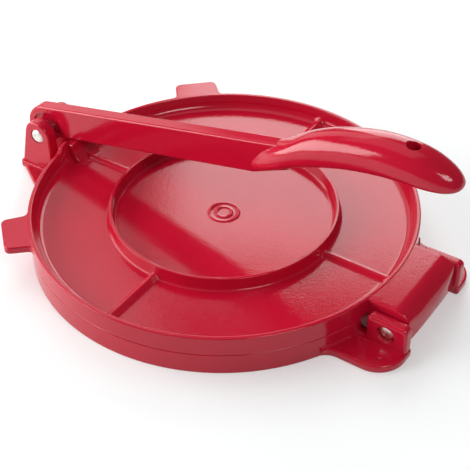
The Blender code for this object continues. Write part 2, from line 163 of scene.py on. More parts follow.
def shell(name, rings):
    """Closed surface over a grid of points (rings, points of a ring, 3). Each ring is joined
    to the next, and a flat face closes the first and the last."""
    count, sides, _ = rings.shape
    index = np.arange(count * sides).reshape(count, sides)
    beside = np.roll(index, -1, axis=1)
    quads = np.stack([index[:-1], beside[:-1], beside[1:], index[1:]], axis=-1).reshape(-1, 4)
    ends = index[[0, -1]]
    mesh = bpy.data.meshes.new(name)
    mesh.from_pydata(rings.reshape(-1, 3).tolist(), [], quads.tolist() + ends.tolist())
    shape = bmesh.new()
    shape.from_mesh(mesh)
    bmesh.ops.remove_doubles(shape, verts=shape.verts, dist=merge_distance)
    bmesh.ops.recalc_face_normals(shape, faces=shape.faces)
    shape.to_mesh(mesh)
    shape.free()
    return mesh


def spun(name, profile, centre=(0, 0, 0), lying=False, sides=round_steps):
    """Profile of (radius, height) carried round an upright axis, or round one along Y."""
    angles = np.arange(sides) * math.tau / sides
    profile = np.array(profile, float)
    across = profile[:, :1] * np.cos(angles)
    along = profile[:, :1] * np.sin(angles)
    height = np.repeat(profile[:, 1:], sides, axis=1)
    order = (across, height, along) if lying else (across, along, height)
    return shell(name, np.stack(order, axis=-1) + np.array(centre))


def plate_rings(outline, low, high, edge, upright=False, rows=1, steps=5):
    """Rings of a plate between low and high. Towards each face the outline draws in along
    its own normals by a quarter circle of the edge radius."""
    outline = np.array(outline, float)
    after = np.roll(outline, -1, axis=0)
    area = (outline[:, 0] * after[:, 1] - outline[:, 1] * after[:, 0]).sum()
    if area < 0:
        outline = outline[::-1]
    ahead = np.roll(outline, -1, axis=0) - np.roll(outline, 1, axis=0)
    normal = np.stack([ahead[:, 1], -ahead[:, 0]], axis=1)
    normal /= np.linalg.norm(normal, axis=1, keepdims=True)
    turn = np.radians(np.linspace(0, 90, steps + 1))
    inset = edge * (1 - np.sin(turn))
    rise = edge * (1 - np.cos(turn))
    middle = np.linspace(low + edge, high - edge, rows + 1)[1:-1]
    inset = np.concatenate([inset, 0 * middle, inset[::-1]])
    height = np.concatenate([low + rise, middle, high - rise[::-1]])
    flat = outline[None] - normal[None] * inset[:, None, None]
    level = np.broadcast_to(height[:, None, None], (*flat.shape[:2], 1))
    return np.concatenate([flat, level], axis=2)[..., (0, 2, 1) if upright else (0, 1, 2)]


def plate(name, outline, low, high, edge, upright=False):
    """Plate with rounded edges, lying flat, or standing with its thickness along Y."""
    return shell(name, plate_rings(outline, low, high, edge, upright))


def rod(name, radius, half, centre, edge=0.0, sides=96):
    """Round bar along Y about a centre, its ends rounded by the edge radius."""
    if edge:
        ends = arc((radius - edge, half - edge), edge, 0, 90, 5)
        ends = np.concatenate([ends, [(pole_radius, half)]])
    else:
        ends = np.array([(radius, half)])
    profile = np.concatenate([(ends * (1, -1))[::-1], ends])
    return spun(name, profile, centre, lying=True, sides=sides)


def fused(name, shells, holes=(), crease_degrees=38):
    """One casting: overlapping shells joined to one skin, then its holes cut. Faces that
    meet at less than the crease angle are shaded as one surface."""
    body = bpy.data.objects.new(name, shells[0])
    bpy.context.scene.collection.objects.link(body)
    tools = []
    for operation, meshes in (("UNION", shells[1:]), ("DIFFERENCE", holes)):
        for mesh in meshes:
            tool = bpy.data.objects.new(mesh.name, mesh)
            bpy.context.scene.collection.objects.link(tool)
            step = body.modifiers.new(mesh.name, "BOOLEAN")
            step.operation = operation
            step.solver = "MANIFOLD"
            step.object = tool
            tools.append(tool)
    graph = bpy.context.evaluated_depsgraph_get()
    finished = bpy.data.meshes.new_from_object(body.evaluated_get(graph))
    body.modifiers.clear()
    body.data = finished
    for tool in tools:
        bpy.data.objects.remove(tool)
    finished.name = name
    finished.shade_smooth()
    finished.set_sharp_from_angle(angle=math.radians(crease_degrees))
    weighted = body.modifiers.new("face_weighted_normals", "WEIGHTED_NORMAL")
    weighted.keep_sharp = True
    return body


def linear(code):
    """sRGB hex to the linear colour that a shader takes."""
    parts = np.array([int(code[place : place + 2], 16) for place in (0, 2, 4)]) / 255
    bent = np.where(parts <= 0.04045, parts / 12.92, ((parts + 0.055) / 1.055) ** 2.4)
    return (*bent.tolist(), 1.0)


def add(material, kind, inputs=(), **settings):
    """Adds a shader node. A socket given for an input is linked, any other value is set."""
    made = material.node_tree.nodes.new(f"ShaderNode{kind}")
    for name, value in settings.items():
        setattr(made, name, value)
    for name, value in dict(inputs).items():
        if isinstance(value, bpy.types.NodeSocket):
            material.node_tree.links.new(value, made.inputs[name])
        else:
            made.inputs[name].default_value = value
    return made


def blank_material(name):
    """Material with an empty node tree."""
    material = bpy.data.materials.new(name)
    material.use_nodes = True
    material.node_tree.nodes.clear()
    return material


def ramp(material, factor, stops):
    """Colour ramp through (place, colour) stops."""
    made = add(material, "ValToRGB", {"Fac": factor})
    band = made.color_ramp
    for place, colour in stops[2:]:
        band.elements.new(place)
    for element, (place, colour) in zip(band.elements, sorted(stops)):
        element.position = place
        element.color = colour
    return made.outputs["Color"]


def baked_enamel(name, shift):
    """Glossy red coat sprayed on cast iron and baked. It gives a deep even red with slow
    changes of shade, a fine orange peel over the grain of the sand casting, a paler red
    along convex edges, partly a coat run thin and partly a painted highlight, and
    reflections that stay soft. The shift moves the pattern, so that the castings don't all
    carry the same one."""
    material = blank_material(name)
    place = add(material, "TexCoord").outputs["Object"]
    moved = add(material, "Mapping", {"Vector": place, "Location": (shift, shift, shift)}).outputs["Vector"]
    patches = add(
        material,
        "TexNoise",
        {"Vector": moved, "Scale": 1 / enamel_patch_size, "Detail": 3.0, "Roughness": 0.55},
    ).outputs["Fac"]
    peel = add(
        material,
        "TexNoise",
        {"Vector": moved, "Scale": 1 / orange_peel_size, "Detail": 2.0, "Roughness": 0.5},
    ).outputs["Fac"]
    grain = add(
        material,
        "TexNoise",
        {"Vector": moved, "Scale": 1 / cast_grain_size, "Detail": 2.0, "Roughness": 0.6},
    ).outputs["Fac"]
    deep, body, thin_coat_highlight = [linear(enamel_colours[coat]) for coat in ("deep", "body", "thin_coat_highlight")]
    shade = ramp(material, patches, [(0.30, deep), (0.62, body)])
    # Paler colour along convex edges: partly a coat run thin, partly a painted highlight.
    pointed = add(material, "NewGeometry").outputs["Pointiness"]
    edges = add(
        material,
        "MapRange",
        {"Value": pointed, "From Min": 0.53, "From Max": 0.62, "To Max": 0.55},
    ).outputs["Result"]
    thin_coat_and_highlight = add(material, "Math", {0: edges, 1: patches}, operation="MULTIPLY").outputs["Value"]
    colour = add(material, "Mix", {"Factor": thin_coat_and_highlight, "A": shade, "B": thin_coat_highlight}, data_type="RGBA")
    gloss = add(
        material,
        "MapRange",
        {"Value": peel, "From Min": 0.3, "From Max": 0.7, "To Min": 0.085, "To Max": 0.13},
    )
    skin = add(material, "Bump", {"Height": grain, "Strength": 0.70, "Distance": 0.05 * mm}).outputs["Normal"]
    coat = add(
        material,
        "Bump",
        {"Height": peel, "Strength": 0.30, "Distance": 0.08 * mm, "Normal": skin},
    )
    shader = add(
        material,
        "BsdfPrincipled",
        {
            "Base Color": colour.outputs["Result"],
            "Roughness": gloss.outputs["Result"],
            "Normal": coat.outputs["Normal"],
            "IOR": 1.45,
        },
    )
    add(material, "OutputMaterial", {"Surface": shader.outputs["BSDF"]})
    return material


def turned_plate():
    """Half section of the round plate, from its top's middle out, down and in under the
    roof, carried round, and the four ribs between the ring and the skirt."""
    skirt_inner = base_radius - base_skirt
    roof_corner = (skirt_inner - base_edge - base_roof_corner, base_roof - base_roof_corner)
    section = [
        [(pole_radius, base_height)],
        arc((base_radius - base_edge, base_height - base_edge), base_edge, 90, 0, 5),
        arc((base_radius - base_edge, base_edge), base_edge, 0, -90, 5),
        [(skirt_inner, 0)],
        arc(roof_corner, base_roof_corner, 0, 90, 5),
        [(base_ring_radius + base_ring_half, base_roof)],
        [(base_ring_radius + base_ring_half, base_rib_gap)],
        [(base_ring_radius - base_ring_half, base_rib_gap)],
        [(base_ring_radius - base_ring_half, base_roof)],
        [(pole_radius, base_roof)],
    ]
    shells = [spun("base_body", np.concatenate(section))]
    rib = np.array([(base_ring_radius, -base_rib_half), (skirt_inner + weld, -base_rib_half)])
    rib = np.concatenate([rib, rib[::-1] * (1, -1)])
    for angle in np.radians(base_rib_angles):
        turn = np.array([(math.cos(angle), math.sin(angle)), (-math.sin(angle), math.cos(angle))])
        shells.append(plate("under_rib", rib @ turn, base_rib_gap, base_roof + weld, base_rib_edge))
    return shells


def foot_outline():
    """Top view of a foot. Its flank leaves the round plate by a fillet, an arc outside the
    plate's circle that touches it and the flank."""
    fillet_y = foot_half + foot_fillet
    fillet_x = math.sqrt((base_radius + foot_fillet) ** 2 - fillet_y**2)
    meet = math.degrees(math.atan2(fillet_y, fillet_x))
    inside = base_radius - base_skirt + weld
    return np.concatenate([
        [(inside * math.cos(math.radians(meet)), inside * math.sin(math.radians(meet)))],
        arc((fillet_x, fillet_y), foot_fillet, meet - 180, -90, 10),
        arc((foot_reach - foot_corner, foot_half - foot_corner), foot_corner, 90, 0, 16),
        arc((foot_reach - foot_heel, ear_inner + foot_heel), foot_heel, 0, -90, 5),
        [(math.sqrt(inside**2 - ear_inner**2), ear_inner)],
    ])


def ear_outline():
    """Side view of a hinge ear, with a low tail that runs in under the round plate."""
    tail = math.sqrt((base_radius - base_skirt) ** 2 - ear_inner**2)
    corners = [
        (tail, weld),
        (ear_back, weld),
        (ear_back, ear_top),
        (ear_front, ear_top),
        (ear_front, ear_tail_height),
        (tail, ear_tail_height),
    ]
    radii = [
        buried_corner,
        buried_corner,
        ear_back_corner,
        ear_front_corner,
        ear_tail_fillet,
        buried_corner,
    ]
    return rounded_outline(corners, radii)


def hinge_feet():
    """Both feet with their ears, and the fillet where each foot leaves the plate's wall: a
    hollow quarter circle, carried along the wall."""
    inner_x = base_radius - weld
    outer_x = base_radius + foot_weld_fillet
    low = foot_height - weld
    high = foot_height + foot_weld_fillet
    hollow = arc((outer_x, high), foot_weld_fillet, 270, 180, 8)
    hollow = np.concatenate([hollow, [(inner_x, high), (inner_x, low), (outer_x, low)]])
    shells = []
    for side in (1, -1):
        along = np.radians(np.linspace(*foot_weld_angles, 24))[:, None] * side
        across = hollow[None, :, 0]
        height = np.broadcast_to(hollow[:, 1], (len(along), len(hollow)))
        bead = np.stack([across * np.cos(along), across * np.sin(along), height], axis=-1)
        shells.append(shell("foot_fillet", bead))
        shells.append(plate("foot", foot_outline() * (1, side), 0, foot_height, foot_edge))
        low, high = sorted((side * ear_inner, side * ear_outer))
        shells.append(plate("hinge_ear", ear_outline(), low, high, ear_edge, upright=True))
    return shells


def fork_outline():
    """Side view of a fork ear: straight up from the shelf on the inner side, round over the
    pivot, and down a slope that leaves the round end where it touches it."""
    foot_z = weld - pivot_z
    reach = math.hypot(fork_foot, foot_z)
    touch = math.atan2(foot_z, -fork_foot) % math.tau - math.acos(fork_round / reach)
    outline = [
        [(fork_round, foot_z)],
        arc((0, 0), fork_round, 0, math.degrees(touch), 30),
        [(-fork_foot, foot_z)],
    ]
    return np.concatenate(outline) + (pivot_x, pivot_z)


def lever_bracket():
    """Thin lobe that spreads from the plate, the shelf and neck on it, and the fork."""
    root_radius = base_radius - base_skirt / 2
    root_half = math.degrees(math.asin(lobe_root_half / root_radius))
    corner_x = -lobe_tip + lobe_corner
    corner_y = lobe_tip_half - lobe_corner
    lobe = np.concatenate([
        arc((0, 0), root_radius, 180 + root_half, 180 - root_half, 16),
        arc((corner_x, corner_y), lobe_corner, 180 - lobe_corner_sweep, 180, 6),
        arc((corner_x, -corner_y), lobe_corner, 180, 180 + lobe_corner_sweep, 6),
    ])
    root_x = -(base_radius - base_skirt + weld)
    tip_x = pivot_x - fork_foot - shelf_margin
    half = fork_outer + shelf_ledge
    shelf = rounded_outline([(tip_x, -half), (root_x, -half), (root_x, half), (tip_x, half)], shelf_corner)
    tip_x = pivot_x + fork_round / 2
    root_x = root_x - running_gap
    neck = [(tip_x, -fork_outer), (root_x, -fork_outer), (root_x, fork_outer), (tip_x, fork_outer)]
    shells = [
        plate("bracket_lobe", lobe, 0, lobe_height, lobe_edge),
        plate("bracket_shelf", shelf, base_edge, shelf_height, base_edge),
        plate("bracket_neck", neck, base_edge, neck_height, base_edge),
    ]
    for low, high in ((fork_inner, fork_outer), (-fork_outer, -fork_inner)):
        shells.append(plate("bracket_ear", fork_outline(), low, high, fork_edge, upright=True))
    return shells


def base_holes():
    """Room for the lid's knuckle, the two pin bores, and the dimple in each foot, a bowl
    whose section is a quarter ellipse with a flared mouth."""
    hinge = (hinge_x, 0, hinge_z)
    pivot = (pivot_x, 0, pivot_z)
    holes = [
        rod("knuckle_room", knuckle_radius + 2 * running_gap, ear_inner, hinge, sides=180),
        rod("hinge_bore", hinge_pin_radius + running_gap, ear_outer + bore_overrun, hinge),
        rod("pivot_bore", pivot_pin_radius + running_gap, fork_outer + bore_overrun, pivot),
    ]
    turn = np.linspace(*dimple_sweep, 8)
    bowl = np.stack([dimple_radius * np.sin(turn), -dimple_depth * np.cos(turn)], axis=1)
    bowl = np.concatenate([bowl, [(dimple_radius * dimple_flare, dimple_depth)]])
    for side in (1, -1):
        centre = (dimple_x, side * (foot_half - dimple_inset), foot_height)
        holes.append(spun("foot_dimple", bowl, centre, sides=32))
    return holes


base_piece = fused("base_casting", turned_plate() + hinge_feet() + lever_bracket(), base_holes())
base_piece.data.materials.clear()
base_piece.data.materials.append(baked_enamel("baked_enamel_base", 0.0))
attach(base_piece, "base")
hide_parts("base_plate")


# Lid casting
# The upper plate is cast with its rim, the ring round its middle, four low ribs, two grip
# tabs, the block that the lever bears on and the hinge tongue, which is rolled round the pin.

lid_radius = 106.0 * mm
lid_underside = 13.0 * mm
lid_floor = 15.9 * mm
lid_top = 23.9 * mm
rim_width = 2.5 * mm
rim_edge = 0.7 * mm
rim_lean = 1.1 * mm
rim_fillet = 4.5 * mm
ring_radius = 61.6 * mm
ring_half = 0.85 * mm
ring_height = 7.0 * mm
ring_lean = 0.7 * mm
ring_fillet = 1.4 * mm
ring_edge = 0.35 * mm
rib_half = 3.4 * mm
rib_height = 2.3 * mm
boss_radii = (8.0 * mm, 4.2 * mm)
boss_half = 0.7 * mm
boss_height = 0.45 * mm

# The lid's grid: radii where the rows on its floor begin and end, and degrees from one column
# to the next and from a rib's or the block's middle to the end of its closer columns.
outer_field = 87.0 * mm
inner_field = 85.0 * mm
dish_field = 57.0 * mm
angle_step = 1.5
rib_window = 4.5
block_window = 8.0

block_half = 9.0 * mm
block_edge = 1.1 * mm
cheek_half = 8.5 * mm
cheek_flank = 7.0 * mm
cheek_rise = 1.6 * mm
block_reach = 6.6 * mm
block_fillet = 8.0 * mm
lever_tilt = math.radians(12.7)
arm_below = 4.8 * mm
arm_half = 4.0 * mm

tab_reach = 13.5 * mm
tab_root_half = 13.3 * mm
tab_tip_half = 12.3 * mm
tab_thickness = 4.2 * mm
tab_corner = 3.5 * mm
tab_root_fillet = 3.0 * mm
tab_shoulder = 1.5
tab_sunk = 0.3 * mm
tab_buried = 0.8 * mm
tab_edge = 0.9 * mm
tab_drop = 0.2 * mm
tab_angle = math.radians(133)

tongue_half = 25.0 * mm
tongue_root = 100.0 * mm
tongue_reach = 128.6 * mm
tongue_edge = 0.9 * mm
tongue_blend = 0.8 * mm


def smooth_step(value, start, end):
    """0 before start, 1 after end, and the cubic 3t^2 - 2t^3 between."""
    t = np.clip((value - start) / (end - start), 0, 1)
    return t * t * (3 - 2 * t)


def level_row(start, end, count):
    """Evenly spaced points along the lid's floor, from one radius to another."""
    return np.stack([np.linspace(start, end, count), np.full(count, lid_floor)], axis=1)


def lid_section():
    """Half section of the lid: from its underside out, up the rim, in over the floor and the
    ring, and over two low swellings, (1 - s^2)^1.5 of their height, to the middle."""
    wall_in = lid_radius - rim_width
    wall_foot = wall_in - rim_lean - rim_fillet
    wall_rows = np.linspace(lid_underside + rim_edge, lid_top - 2 * rim_edge, 5)
    low_edge = (lid_radius - rim_edge / 2, lid_underside + rim_edge / 2)
    ring_out = ring_radius + ring_half
    ring_in = ring_radius - ring_half
    ring_top = lid_floor + ring_height
    outer_fillet = (ring_out + ring_lean + ring_fillet, lid_floor + ring_fillet)
    inner_fillet = (ring_in - ring_lean - ring_fillet, lid_floor + ring_fillet)
    across = np.linspace(-1, 1, 9)
    swell = lid_floor + boss_height * (1 - across**2) ** 1.5
    bosses = [np.stack([middle - across * boss_half, swell], axis=1) for middle in boss_radii]
    return np.concatenate([
        [(pole_radius, lid_underside)],
        arc(low_edge, rim_edge / 2, -90, 0, 4),
        np.stack([np.full(len(wall_rows), lid_radius), wall_rows], axis=1),
        arc((lid_radius - rim_edge, lid_top - rim_edge), rim_edge, 0, 90, 5),
        arc((wall_in + rim_edge, lid_top - rim_edge), rim_edge, 90, 180, 5),
        arc((wall_foot, lid_floor + rim_fillet), rim_fillet, 0, -90, 12),
        level_row(wall_foot - mm, outer_field, 12),
        level_row(inner_field, ring_out + ring_lean + ring_fillet + mm, 6),
        arc(outer_fillet, ring_fillet, -90, -175, 6),
        arc((ring_out - ring_edge, ring_top - ring_edge), ring_edge, 5, 90, 4),
        arc((ring_in + ring_edge, ring_top - ring_edge), ring_edge, 90, 175, 4),
        arc(inner_fillet, ring_fillet, -5, -90, 6),
        level_row(dish_field, boss_radii[0] + 2 * boss_half, 6),
        bosses[0],
        [(sum(boss_radii) / 2, lid_floor)],
        bosses[1],
        level_row(boss_radii[1] - 2 * boss_half, pole_radius, 4),
    ])


def lid_angles():
    """Places round the lid, close together at the ribs and the block."""
    even = np.arange(0, 360, angle_step)
    rib_rows = np.linspace(-rib_window, rib_window, 37)
    near_ribs = np.concatenate([centre + rib_rows for centre in (0, 90, 270)])
    near_block = 180 + np.linspace(-block_window, block_window, 81)
    angles = np.unique(np.round(np.concatenate([even, near_ribs, near_block]) % 360, 3))
    return np.radians(angles)


def arm_underside(x):
    """Height of the resting lever's underside over a place x in the middle plane."""
    return pivot_z + (x - pivot_x) * math.tan(lever_tilt) - arm_below / math.cos(lever_tilt)


def lid_body():
    """The section carried round, then raised: a rib lifts the floor by (1 - s^2)^2 of its
    height across it, and two cheeks lift the rim on both sides of the resting lever, each
    rounded off sideways by a quarter ellipse."""
    section = lid_section()
    angles = lid_angles()
    radius = section[:, :1]
    x = radius * np.cos(angles)
    y = radius * np.sin(angles)
    z = np.repeat(section[:, 1:], len(angles), axis=1)
    outermost = np.flatnonzero(np.isclose(section[:, 0], lid_radius))
    on_top = np.arange(len(section))[:, None] > outermost[-1]
    outside = (radius > ring_radius) & on_top
    low_down = np.clip(1 - (z - lid_floor) / (2 * rib_height), 0, 1)
    for ahead, aside in ((x, y), (-x, y), (y, x), (-y, x)):
        across = np.clip(np.abs(aside) / rib_half, 0, 1)
        z = z + outside * (ahead > 0) * low_down * rib_height * (1 - across**2) ** 2
    flank = np.sqrt(1 - np.clip((np.abs(y) - cheek_half) / cheek_flank, 0, 1) ** 2)
    cheek = smooth_step(np.abs(y), arm_half + 2 * running_gap, cheek_half)
    crown = arm_underside(x) - running_gap + cheek_rise * cheek
    start = np.where(on_top, lid_floor, lid_underside)
    climb = np.clip((z - start) / (lid_top - start), 0, 1) * (radius > lid_radius - block_reach) * (x < 0)
    z = z + np.maximum(crown - lid_top, 0) * flank * climb
    return shell("lid_body", np.stack([x, y, z], axis=-1))


def bearing_block():
    """Block inside the rim that the resting lever bears on. From the side it follows the
    lever's underside, then falls to the floor by a hollow quarter ellipse."""
    wall_x = rim_width / 2 - lid_radius
    face_x = block_reach - lid_radius
    foot_x = face_x + block_fillet
    top = np.array([(x, arm_underside(x) - running_gap) for x in np.linspace(wall_x, face_x, 6)])
    turn = np.radians(np.linspace(0, 90, 25))
    fall = top[-1, 1] - lid_floor
    hollow = np.stack([foot_x - block_fillet * np.cos(turn), top[-1, 1] - fall * np.sin(turn)], axis=1)
    low = [(foot_x, lid_underside + rim_edge / 2), (wall_x, lid_underside + rim_edge / 2)]
    outline = np.concatenate([top, hollow[1:], low])
    return plate("bearing_block", outline, -block_half, block_half, block_edge, upright=True)


def grip_tab(angle):
    """Flat tab on the rim, its root widened into the wall by a small fillet."""
    tip = lid_radius + tab_reach
    shoulder = tab_root_half + tab_shoulder * tab_root_fillet
    shoulder_x = math.sqrt(lid_radius**2 - shoulder**2) - tab_sunk
    inner_x = shoulder_x - tab_buried
    half = [(tip, tab_tip_half), (lid_radius, tab_root_half), (shoulder_x, shoulder), (inner_x, shoulder)]
    corners = np.array(half + [(a, -b) for a, b in reversed(half)])
    radii = np.array([tab_corner, tab_root_fillet, buried_corner, buried_corner])
    outline = rounded_outline(corners, np.concatenate([radii, radii[::-1]]))
    turn = np.array([(math.cos(angle), math.sin(angle)), (-math.sin(angle), math.cos(angle))])
    top = lid_top - tab_drop
    return plate("grip_tab", outline @ turn, top - tab_thickness, top, tab_edge)


def hinge_tongue():
    """Side outline, level on top and rolled round the pin, carried across the width. Its
    far end is drawn in to a circle about the lid's middle by a smooth minimum, and its root
    stays inside the rim's wall."""
    knuckle = arc((hinge_x, hinge_z), knuckle_radius, 90, -165, 84)
    level = np.full(6, hinge_z + knuckle_radius)
    top = np.stack([np.linspace(tongue_root, hinge_x - mm, 6), level], axis=1)
    low = [(hinge_x - knuckle_radius, lid_underside + rim_edge), (tongue_root, lid_underside + rim_edge)]
    outline = np.concatenate([top, knuckle, low])
    rings = plate_rings(outline, -tongue_half, tongue_half, tongue_edge, upright=True, rows=24)
    x = rings[..., 0]
    y = rings[..., 1]
    far = np.sqrt(tongue_reach**2 - y**2)
    near = np.sqrt((lid_radius - rim_width + rim_edge) ** 2 - y**2)
    overlap = np.clip(1 - np.abs(x - far) / tongue_blend, 0, 1)
    x = np.minimum(x, far) - tongue_blend / 4 * overlap**2
    rings[..., 0] = np.maximum(x, near)
    return shell("hinge_tongue", rings)


lid_shells = [lid_body(), bearing_block(), grip_tab(tab_angle), grip_tab(-tab_angle), hinge_tongue()]
bore_half = tongue_half + bore_overrun
lid_bore = rod("tongue_bore", hinge_pin_radius + running_gap, bore_half, (hinge_x, 0, hinge_z))
lid_piece = fused("lid_casting", lid_shells, [lid_bore])
lid_piece.data.materials.clear()
lid_piece.data.materials.append(baked_enamel("baked_enamel_lid", 0.37))
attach(lid_piece, "lid")
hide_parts("lid_plate")


# Hinge pin
# A cut length of drawn steel rod, driven through both ears and the knuckle. Its ends are
# peened to shallow domes and sit a little inside the ears.

pin_recess = 1.6 * mm
pin_dome = 1.2 * mm
pin_dome_end = 89.5
stain_size = 2.5 * mm

# The lines that a die leaves are far finer, and are drawn this coarse so that they show.
drawn_line_size = 0.35 * mm


def drawn_steel(name, colour, dull):
    """Bright drawn steel rod with peened ends. It gives a light grey with duller patches,
    fine lines, and soft metal reflections."""
    material = blank_material(name)
    place = add(material, "TexCoord").outputs["Object"]
    along = add(material, "Mapping", {"Vector": place, "Scale": (0.15, 1.0, 0.15)}).outputs["Vector"]
    lines = add(material, "TexNoise", {"Vector": along, "Scale": 1 / drawn_line_size, "Detail": 3.0})
    stains = add(material, "TexNoise", {"Vector": place, "Scale": 1 / stain_size, "Detail": 2.0})
    tone = ramp(material, stains.outputs["Fac"], [(0.35, linear(dull)), (0.60, linear(colour))])
    gloss = add(
        material,
        "MapRange",
        {"Value": lines.outputs["Fac"], "From Min": 0.3, "From Max": 0.7, "To Min": 0.24, "To Max": 0.40},
    )
    bump = add(material, "Bump", {"Height": lines.outputs["Fac"], "Strength": 0.2, "Distance": 0.03 * mm})
    shader = add(
        material,
        "BsdfPrincipled",
        {
            "Base Color": tone,
            "Metallic": 1.0,
            "Roughness": gloss.outputs["Result"],
            "Normal": bump.outputs["Normal"],
        },
    )
    add(material, "OutputMaterial", {"Surface": shader.outputs["BSDF"]})
    return material


pin_steel = drawn_steel("drawn_steel_rod", "ebe8e0", "cbc7be")


def steel_pin(name, radius, half, centre, node):
    """Rod whose ends are peened to shallow domes, arcs that meet the side at an edge."""
    bend = (radius**2 + pin_dome**2) / (2 * pin_dome)
    steep = math.degrees(math.asin(radius / bend))
    dome = arc((0, half - bend), bend, 90 - steep, pin_dome_end, 12)
    profile = np.concatenate([(dome * (1, -1))[::-1], dome])
    pin = fused(name, [spun(name, profile, centre, lying=True, sides=96)])
    pin.data.materials.clear()
    pin.data.materials.append(pin_steel)
    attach(pin, "base")
    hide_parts(node)


steel_pin("hinge_rod", hinge_pin_radius, ear_outer - pin_recess, (hinge_x, 0, hinge_z), "hinge_pin")


# Lever casting
# One casting again: a flat arm with a shallow pocket and a hub at the pivot, which swells
# into an arched, rounded grip with a hole to hang it by.

arm_above = 14.4 * mm
arm_edge = 1.3 * mm
arm_into_crown = 20 * mm
arm_short_of_belly = 2.5 * mm
hub_radius = 8.0 * mm
hub_edge = 0.4 * mm
pocket_depth = 1.2 * mm
pocket_open = 4.0 * mm
pocket_edge = 0.5 * mm
pocket_flange = 4.0 * mm
pocket_reach = 10.6 * mm
pocket_floor = 3.0 * mm
pocket_corner = 2.5 * mm
pocket_top_corner = 1.0 * mm
grip_start = 148.0 * mm
grip_length = 115.7 * mm
grip_rise = 17.2 * mm
grip_half_width = 11.6 * mm
grip_half_height = 10.2 * mm
grip_corner_power = 2.2
grip_waist_share = -0.28
grip_crown_share = 1.29
grip_belly_share = 0.62
hang_hole_radius = 3.5 * mm
hang_hole_setback = 23.1 * mm
hang_hole_round = 0.7 * mm
hang_hole_tool = 40.0 * mm

# Stations of the grip: share of its length, then shares of its rise, of its half width and
# of its half height, and how far a section leans forward for each unit of its height.
grip_shares = np.array(
    [
        (0.00, 0.27, 0.28, 0.84, 1.00),
        (0.05, 0.30, 0.55, 0.90, 0.95),
        (0.11, 0.39, 0.77, 0.92, 0.80),
        (0.28, 0.74, 0.90, 0.94, 0.35),
        (0.50, 0.98, 0.97, 0.98, 0.10),
        (0.69, 0.96, 1.00, 1.00, 0.00),
        (0.82, 0.79, 0.98, 0.97, -0.10),
        (1.00, 0.42, 0.88, 0.86, -0.20),
    ]
)
grip_nose_share = 0.80
grip_nose_power = 2.4
grip_nose_bluntness = 0.42
grip_nose_end = 1 - 1e-6
grip_crowding = 1.15


def grip_stations(shares):
    """Cubic Hermite curve through the station rows, with the rows' own slopes."""
    rows = grip_shares
    slopes = np.gradient(rows, rows[:, 0], axis=0)
    index = np.clip(np.searchsorted(rows[:, 0], shares) - 1, 0, len(rows) - 2)
    span = (rows[index + 1, 0] - rows[index, 0])[:, None]
    t = ((shares - rows[index, 0]) / span[:, 0])[:, None]
    blend = t * t * (3 - 2 * t)
    bend = t * (1 - t) ** 2 * slopes[index] + t * t * (t - 1) * slopes[index + 1]
    return rows[index] * (1 - blend) + rows[index + 1] * blend + span * bend


def grip_rings(count=96, sides=72):
    """Sections along the grip, in the lever's own frame, closer together towards the nose.
    Each is widest at a waist below its middle, with a tall superellipse quarter above and a
    low one below. Past the nose share they close by (1 - t^2.4)^0.42, a little blunter than
    a quarter circle."""
    shares = np.sin(np.linspace(0, 1, count) * math.pi / 2) ** grip_crowding
    shares = np.minimum(shares, grip_nose_end)
    _, rise, width, height, lean = grip_stations(shares).T[:, :, None]
    past = np.maximum(0, shares - grip_nose_share) / (1 - grip_nose_share)
    closing = ((1 - past**grip_nose_power) ** grip_nose_bluntness)[:, None]
    angles = np.arange(sides) * math.tau / sides
    power = 2 / grip_corner_power
    across = np.sign(np.cos(angles)) * np.abs(np.cos(angles)) ** power
    up = np.sign(np.sin(angles)) * np.abs(np.sin(angles)) ** power
    y = across * width * closing * grip_half_width
    reach = grip_waist_share + up * np.where(up > 0, grip_crown_share, grip_belly_share)
    z = reach * height * closing * grip_half_height
    x = grip_start + shares[:, None] * grip_length + z * lean
    return np.stack([x, y, z + rise * grip_rise], axis=-1)


def tilted(rings):
    """From the lever's own frame, with the pivot at its origin, to its place at rest."""
    turn = np.array(Matrix.Rotation(-lever_tilt, 3, "Y"))
    return rings @ turn.T + (pivot_x, 0, pivot_z)


def arm_outline():
    """Side view of the arm: round over the pivot, level along the top, ending in the grip."""
    low_angle = 180 + math.degrees(math.asin(arm_below / arm_above))
    return np.concatenate([
        arc((0, 0), arm_above, low_angle, 90, 30),
        [(grip_start + arm_into_crown, arm_above), (grip_start + arm_into_crown, 0)],
        [(grip_start - arm_short_of_belly, -arm_below)],
    ])


def pocket_outline():
    """Side view of the pocket: it follows the arm's round end inside an even flange."""
    radius = arm_above - pocket_flange
    low_angle = 180 + math.degrees(math.asin(pocket_floor / radius))
    corner = (pocket_reach - pocket_corner, pocket_corner - pocket_floor)
    return np.concatenate([
        arc((0, 0), radius, low_angle, 90, 24),
        arc((pocket_reach - pocket_top_corner, radius - pocket_top_corner), pocket_top_corner, 90, 0, 4),
        arc(corner, pocket_corner, 0, -90, 8),
    ])


def lever_shells():
    """Arm, hub and grip, each running into the next."""
    arm = plate_rings(arm_outline(), -arm_half, arm_half, arm_edge, upright=True, steps=7)
    hub = rod("lever_hub", hub_radius, fork_inner - running_gap, (pivot_x, 0, pivot_z), hub_edge)
    return [shell("lever_arm", tilted(arm)), hub, shell("lever_grip", tilted(grip_rings()))]


